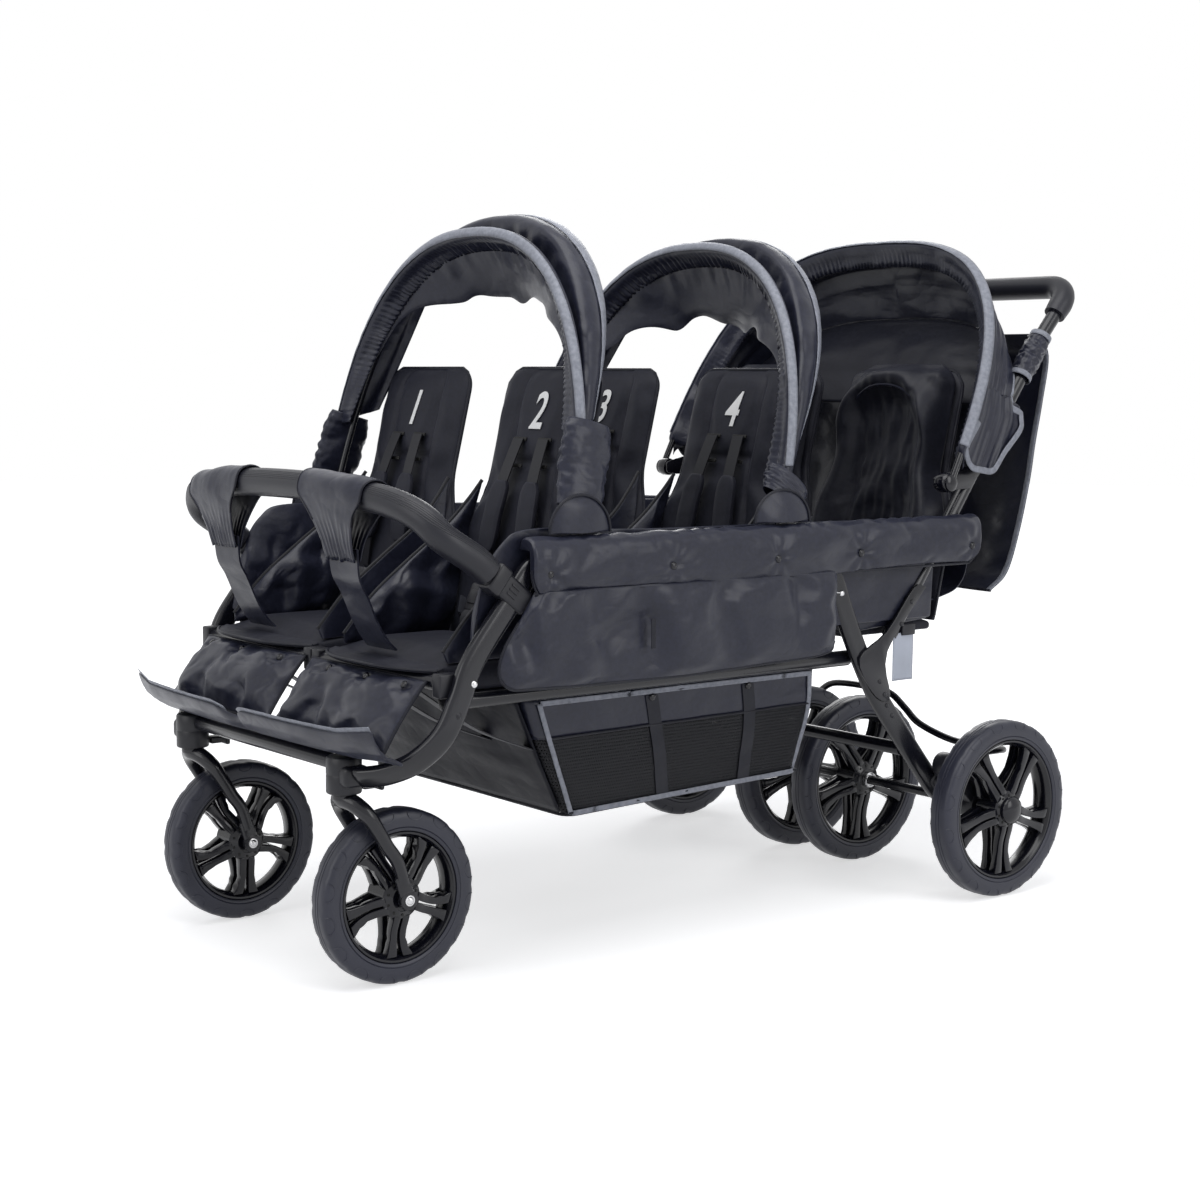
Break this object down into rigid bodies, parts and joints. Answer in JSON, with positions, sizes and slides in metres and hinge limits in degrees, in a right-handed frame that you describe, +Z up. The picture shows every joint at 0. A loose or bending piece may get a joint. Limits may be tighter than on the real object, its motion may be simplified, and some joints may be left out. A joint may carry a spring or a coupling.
{
  "type": "stroller",
  "caption": "Multi-seat tandem stroller with paired seats in rows, arched canopies, rear hood, swivel front wheels, foot brake bar, underseat basket and folding push frame.",
  "frame": {"origin": "on the floor, below the middle of the bounding box: midway between the footboard's front lip and the back of the handle grip, and midway between the outer wheels", "axes": "+Z up, -Y the way the stroller rolls forwards, +X its left side"},
  "size_m": [0.89, 1.4799, 1.1073],
  "materials": {
    "black_tube": "satin black powder coat",
    "black_plastic": "satin black",
    "gloss_plastic": "gloss black",
    "steel": "zinc plated",
    "tyre_foam": "matte charcoal",
    "grip_foam": "matte black foam",
    "nylon": "blue-black woven nylon with a soft sheen",
    "seat_cloth": "black woven polyester",
    "mesh_cloth": "black cloth and net"
  },
  "bodies": {
    "chassis": {"side_frame_left": "black_tube", "side_frame_right": "black_tube", "lower_rail_left": "black_tube", "lower_rail_right": "black_tube", "front_crossbar": "black_tube", "seat_cross_tube": "black_tube", "caster_housing_left": "black_plastic", "caster_housing_right": "black_plastic", "bumper_clamp_left": "black_plastic", "bumper_clamp_right": "black_plastic", "seat_row_1": "seat_cloth", "seat_row_2": "seat_cloth", "seat_row_3": "seat_cloth", "seat_back_1": "seat_cloth", "seat_back_2": "seat_cloth", "seat_back_3": "seat_cloth", "seat_back_4": "seat_cloth", "footboard": "nylon", "calf_pad_left": "nylon", "calf_pad_right": "nylon", "side_panel_left": "nylon", "side_panel_right": "nylon", "basket": "mesh_cloth", "canopy_1_bow_rear": "black_tube", "canopy_2_bow_rear": "black_tube", "canopy_1_cloth": "nylon", "canopy_2_cloth": "nylon"},
    "caster_left": {"caster_fork_left": "black_tube"},
    "caster_right": {"caster_fork_right": "black_tube"},
    "wheel_front_left": {"tyre_front_left": "tyre_foam", "rim_front_left": "gloss_plastic"},
    "wheel_front_right": {"tyre_front_right": "tyre_foam", "rim_front_right": "gloss_plastic"},
    "lock_left": {"caster_lock_left": "black_plastic"},
    "lock_right": {"caster_lock_right": "black_plastic"},
    "rear_legs": {"rear_leg_left": "black_tube", "rear_leg_right": "black_tube", "rear_axle": "steel", "rear_cross_tube": "black_tube", "brake_housing_left": "black_plastic", "brake_housing_right": "black_plastic"},
    "wheel_rear_outer_left": {"tyre_rear_outer_left": "tyre_foam", "rim_rear_outer_left": "gloss_plastic"},
    "wheel_rear_outer_right": {"tyre_rear_outer_right": "tyre_foam", "rim_rear_outer_right": "gloss_plastic"},
    "wheel_rear_inner_left": {"tyre_rear_inner_left": "tyre_foam", "rim_rear_inner_left": "gloss_plastic"},
    "wheel_rear_inner_right": {"tyre_rear_inner_right": "tyre_foam", "rim_rear_inner_right": "gloss_plastic"},
    "brake": {"brake_bar": "black_tube"},
    "bumper": {"bumper_bar": "grip_foam"},
    "canopy_1_front": {"canopy_1_bow_front": "black_tube"},
    "canopy_2_front": {"canopy_2_bow_front": "black_tube"},
    "push": {"push_frame": "black_tube", "handle_grip": "grip_foam", "canopy_3_cloth": "nylon", "back_cover": "nylon"},
    "hood_front": {"canopy_3_bow": "black_tube"},
    "rear_backs": {"seat_back_5": "seat_cloth", "seat_back_6": "seat_cloth"}
  },
  "joints": [
    {"name": "handle_fold", "type": "hinge", "parent": "chassis", "child": "push", "pos_m": [0, 0.405, 0.6], "axis": [1, 0, 0], "range_deg": [0, 34]},
    {"name": "rear_leg_fold", "type": "hinge", "parent": "chassis", "child": "rear_legs", "pos_m": [0, 0.142, 0.6], "axis": [1, 0, 0], "range_deg": [-34, 0]},
    {"name": "rear_back_fold", "type": "hinge", "parent": "chassis", "child": "rear_backs", "pos_m": [0, 0.4036, 0.454], "axis": [1, 0, 0], "range_deg": [0, 34]},
    {"name": "canopy_1_pull", "type": "hinge", "parent": "chassis", "child": "canopy_1_front", "pos_m": [0, -0.375, 0.6], "axis": [1, 0, 0], "range_deg": [0, 55], "deforming": ["canopy_1_cloth"]},
    {"name": "canopy_2_pull", "type": "hinge", "parent": "chassis", "child": "canopy_2_front", "pos_m": [0, 0.015, 0.6], "axis": [1, 0, 0], "range_deg": [0, 25], "deforming": ["canopy_2_cloth"]},
    {"name": "hood_tilt", "type": "hinge", "parent": "push", "child": "hood_front", "pos_m": [0, 0.386, 0.69], "axis": [1, 0, 0], "range_deg": [-10, 0], "deforming": ["canopy_3_cloth"]},
    {"name": "caster_swivel_left", "type": "hinge", "parent": "chassis", "child": "caster_left", "pos_m": [0.226, -0.68, 0.283], "axis": [0, 0, 1], "continuous": true},
    {"name": "caster_swivel_right", "type": "hinge", "parent": "chassis", "child": "caster_right", "pos_m": [-0.226, -0.68, 0.283], "axis": [0, 0, 1], "continuous": true},
    {"name": "front_wheel_spin_left", "type": "hinge", "parent": "caster_left", "child": "wheel_front_left", "pos_m": [0.226, -0.6, 0.126], "axis": [1, 0, 0], "continuous": true},
    {"name": "front_wheel_spin_right", "type": "hinge", "parent": "caster_right", "child": "wheel_front_right", "pos_m": [-0.226, -0.6, 0.126], "axis": [1, 0, 0], "continuous": true},
    {"name": "caster_lock_left_flip", "type": "hinge", "parent": "chassis", "child": "lock_left", "pos_m": [0.226, -0.6547, 0.297], "axis": [1, 0, 0], "range_deg": [0, 30]},
    {"name": "caster_lock_right_flip", "type": "hinge", "parent": "chassis", "child": "lock_right", "pos_m": [-0.226, -0.6547, 0.297], "axis": [1, 0, 0], "range_deg": [0, 30]},
    {"name": "rear_wheel_spin_outer_left", "type": "hinge", "parent": "rear_legs", "child": "wheel_rear_outer_left", "pos_m": [0.405, 0.477, 0.1475], "axis": [1, 0, 0], "continuous": true},
    {"name": "rear_wheel_spin_outer_right", "type": "hinge", "parent": "rear_legs", "child": "wheel_rear_outer_right", "pos_m": [-0.405, 0.477, 0.1475], "axis": [1, 0, 0], "continuous": true},
    {"name": "rear_wheel_spin_inner_left", "type": "hinge", "parent": "rear_legs", "child": "wheel_rear_inner_left", "pos_m": [0.075, 0.477, 0.1475], "axis": [1, 0, 0], "continuous": true},
    {"name": "rear_wheel_spin_inner_right", "type": "hinge", "parent": "rear_legs", "child": "wheel_rear_inner_right", "pos_m": [-0.075, 0.477, 0.1475], "axis": [1, 0, 0], "continuous": true},
    {"name": "brake_bar_lift", "type": "hinge", "parent": "rear_legs", "child": "brake", "pos_m": [0, 0.4, 0.22], "axis": [1, 0, 0], "range_deg": [0, 8]},
    {"name": "bumper_release", "type": "slide", "parent": "chassis", "child": "bumper", "axis": [0, -0.7809, 0.6247], "range_m": [0, 0.05]}
  ],
  "couplings": [
    {"joint": "rear_leg_fold", "follows": "handle_fold", "ratio": -1},
    {"joint": "rear_back_fold", "follows": "handle_fold", "ratio": 1}
  ]
}
